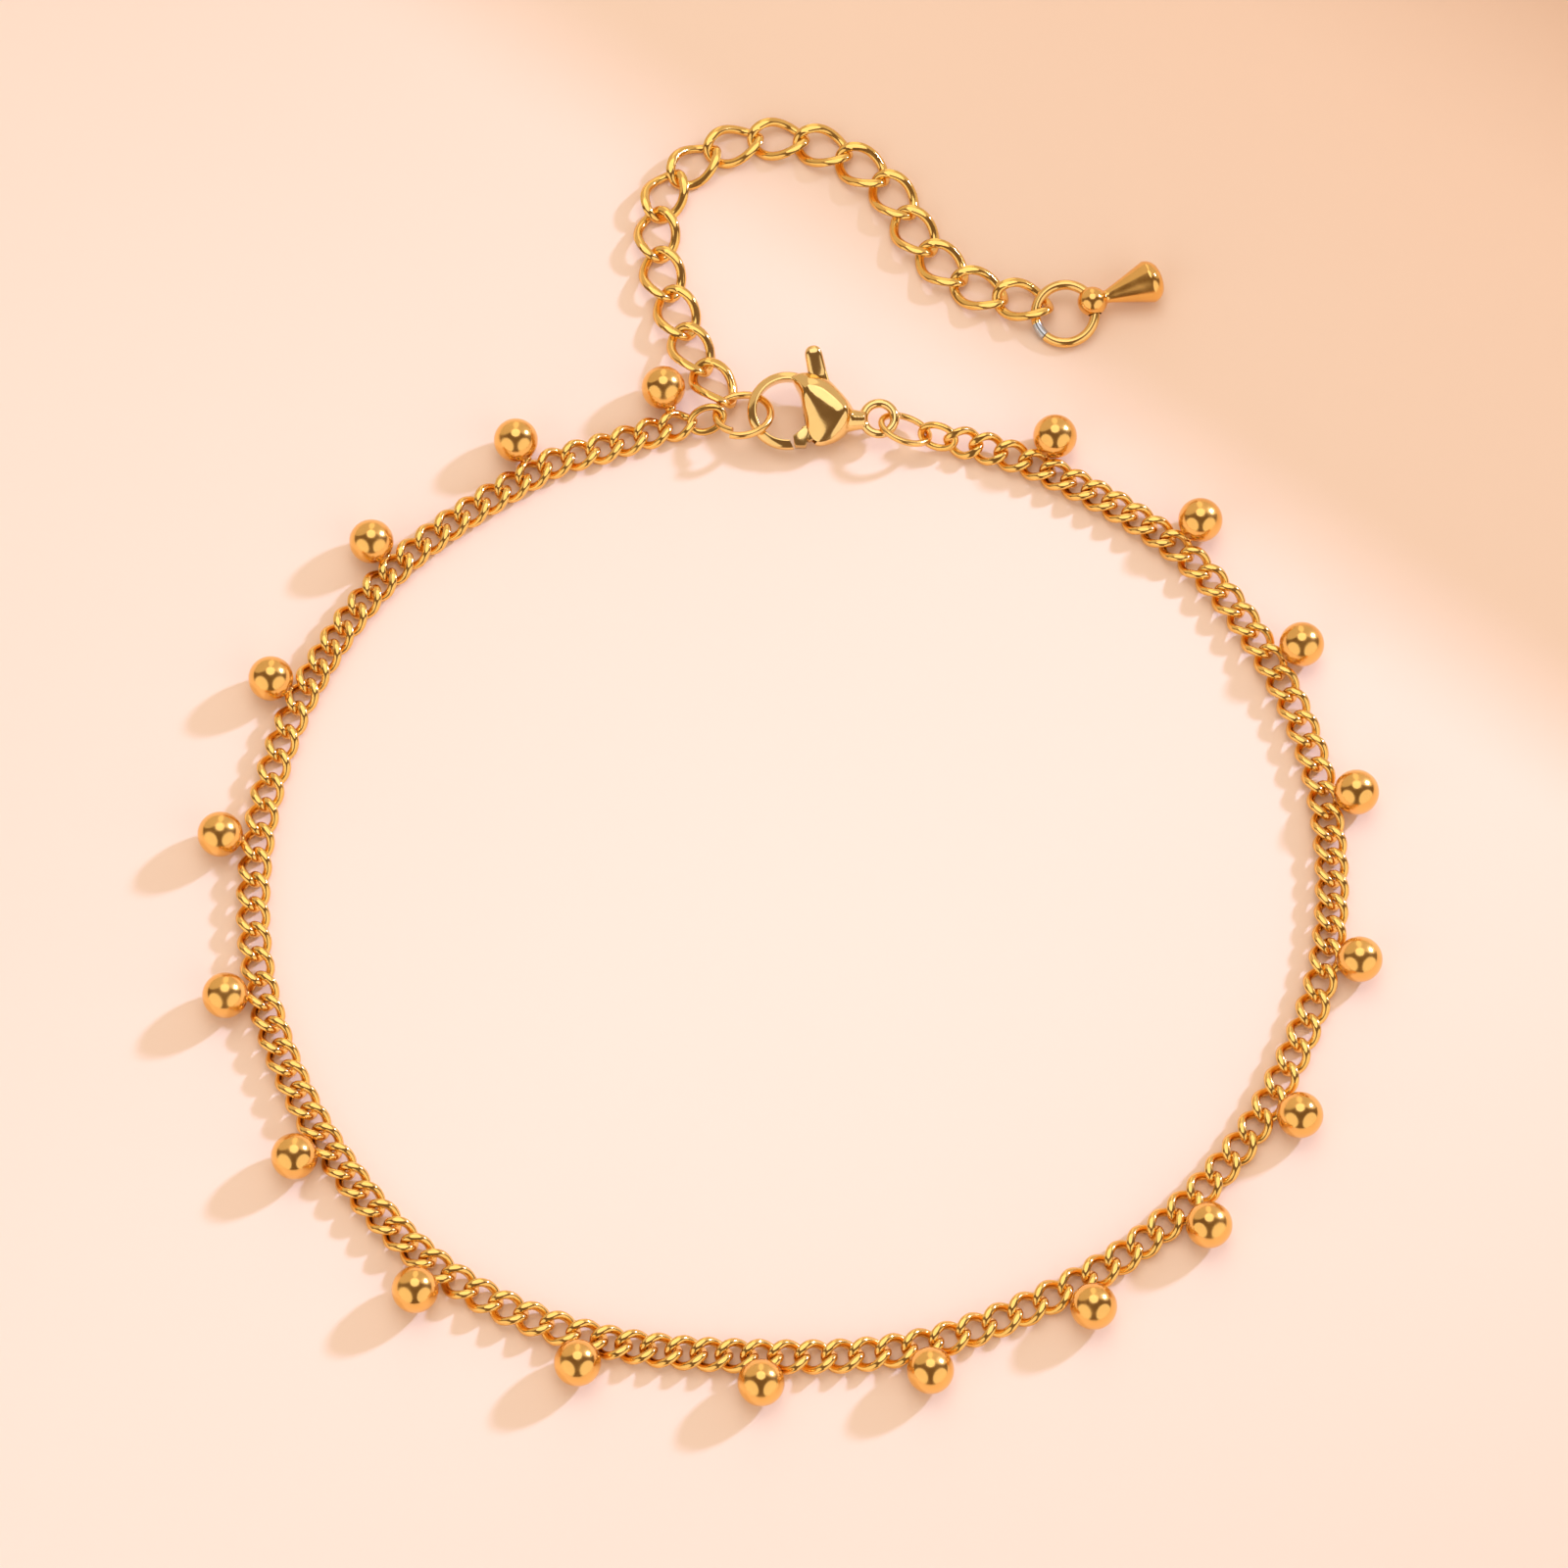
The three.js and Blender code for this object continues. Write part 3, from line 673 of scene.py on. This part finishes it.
# Table: a plain wide board under the anklet, painted matt in a pale, warm colour.
# The paint has a very faint unevenness of tone.
TABLE_HALF = 3000.0
table_shape = bmesh.new()
bmesh.ops.create_grid(table_shape, x_segments=2, y_segments=2, size=TABLE_HALF)
matt = bpy.data.materials.new("matt_table")
matt.use_nodes = True
matt_nodes = matt.node_tree.nodes
matt_links = matt.node_tree.links
matt_shader = matt_nodes["Principled BSDF"]
matt_shader.inputs["Roughness"].default_value = 0.75
matt_shader.inputs["Specular IOR Level"].default_value = 0.2
matt_place = matt_nodes.new("ShaderNodeTexCoord")
matt_cloud = matt_nodes.new("ShaderNodeTexNoise")
matt_cloud.inputs["Scale"].default_value = 14.0
matt_links.new(matt_place.outputs["Object"], matt_cloud.inputs["Vector"])
matt_tone = matt_nodes.new("ShaderNodeValToRGB")
matt_tone.color_ramp.elements[0].color = (0.935, 0.775, 0.635, 1)
matt_tone.color_ramp.elements[1].color = (0.965, 0.81, 0.67, 1)
matt_links.new(matt_cloud.outputs["Fac"], matt_tone.inputs["Fac"])
matt_links.new(matt_tone.outputs["Color"], matt_shader.inputs["Base Color"])
table = piece(table_shape, "table", matt)

# Light: one small hard lamp low on the far right, whose beam fades to the sides, a soft round panel overhead
# and four larger ones around the table. A warm fill from above lights the table and shows in no reflection.
LOOK_AT = Vector((-0.35, -3.6, 0.0))
BEAM_TO = Vector((-45.0, -40.0, 0.0))
PANEL_DISTANCE = 600.0


def lamp(name, direction, colour, *, width, glow, distance=PANEL_DISTANCE, spread=180.0, beam_to=LOOK_AT):
    """A round panel that faces the anklet from that direction, with the given brightness of its face.
    A spread below 180 degrees narrows its beam, which then fades away from the point it is turned to."""
    light = bpy.data.lights.new(name, "AREA")
    light.shape = "DISK"
    light.size = width * MM
    light.spread = math.radians(spread)
    half_spread = math.radians(spread) / 2
    narrowed = 1 - half_spread / math.tan(half_spread)
    light.energy = glow * narrowed * math.pi * math.pi * (width * MM / 2) ** 2
    light.color = colour
    panel = bpy.data.objects.new(name, light)
    bpy.context.scene.collection.objects.link(panel)
    stand = LOOK_AT + Vector(direction).normalized() * distance
    panel.location = stand * MM
    panel.rotation_euler = (stand - beam_to).to_track_quat("Z", "Y").to_euler()
    panel.visible_camera = False
    return panel


lamp("key_lamp", (442.0, 272.0, 267.0), (0.556, 0.63, 1.0), width=50.0, glow=645.0,
     distance=583.0, spread=28.0, beam_to=BEAM_TO)
lamp("panel_over", (0.0, 0.28, 0.96), (1.0, 0.98, 0.98), width=470.0, glow=1.35)
lamp("panel_left", (-0.72, -0.604, 0.342), (1.0, 0.93, 0.86), width=856.0, glow=0.92)
lamp("panel_right", (0.72, -0.604, 0.342), (1.0, 0.94, 0.9), width=856.0, glow=0.92)
lamp("panel_far_left", (-0.491, 0.786, 0.375), (1.0, 0.88, 0.75), width=980.0, glow=0.55)
lamp("panel_far_right", (0.491, 0.786, 0.375), (1.0, 0.9, 0.8), width=980.0, glow=0.55)
table_fill = lamp("table_fill", (0.0, 0.0, 1.0), (1.0, 0.613, 0.435), width=1000.0, glow=0.53)
table_fill.visible_glossy = False

# Shade card: a plain card of the table's colour, standing on the table on the lamp's side.
# It takes the lamp's light off the far corner, and shows neither in the picture nor in the gold.
CARD_FOOT = Vector((60.8, 53.3))
CARD_ALONG = Vector((0.796, -0.605))
CARD_HALF = 64.0
CARD_HEIGHT = 28.0
card_shape = bmesh.new()
card_low = [CARD_FOOT - CARD_ALONG * CARD_HALF, CARD_FOOT + CARD_ALONG * CARD_HALF]
card_corners = [card_shape.verts.new((p.x, p.y, 0.0)) for p in card_low]
card_corners += [card_shape.verts.new((p.x, p.y, CARD_HEIGHT)) for p in reversed(card_low)]
card_shape.faces.new(card_corners)
card = piece(card_shape, "shade_card", matt)
card.visible_camera = False
card.visible_glossy = False

# Room light: a dim warm glow from all round, as pale walls throw it back.
# The picture's tones are shown as they fall, with no film curve.
room_light = bpy.data.worlds.new("room")
room_light.use_nodes = True
room_light.node_tree.nodes["Background"].inputs["Color"].default_value = (1.0, 0.65, 0.4, 1)
room_light.node_tree.nodes["Background"].inputs["Strength"].default_value = 0.2
bpy.context.scene.world = room_light
bpy.context.scene.view_settings.view_transform = "Standard"

# Camera: above the near side of the table, looking down at the anklet.
# Its lens is long, so that the far side of the loop is hardly smaller than the near side.
CAMERA_ELEVATION = math.radians(67.5)
CAMERA_DISTANCE = 338.8
FRAME_PIXELS = 1600
FOCAL_PIXELS = 5200
camera_data = bpy.data.cameras.new("camera")
camera_data.sensor_width = 36
camera_data.angle = 2 * math.atan(FRAME_PIXELS / 2 / FOCAL_PIXELS)
camera_data.clip_start = 0.01
camera_data.clip_end = 20
camera = bpy.data.objects.new("camera", camera_data)
bpy.context.scene.collection.objects.link(camera)
toward_camera = Vector((0, -math.cos(CAMERA_ELEVATION), math.sin(CAMERA_ELEVATION)))
camera.location = (LOOK_AT + CAMERA_DISTANCE * toward_camera) * MM
camera.rotation_euler = (math.pi / 2 - CAMERA_ELEVATION, 0, 0)
bpy.context.scene.camera = camera
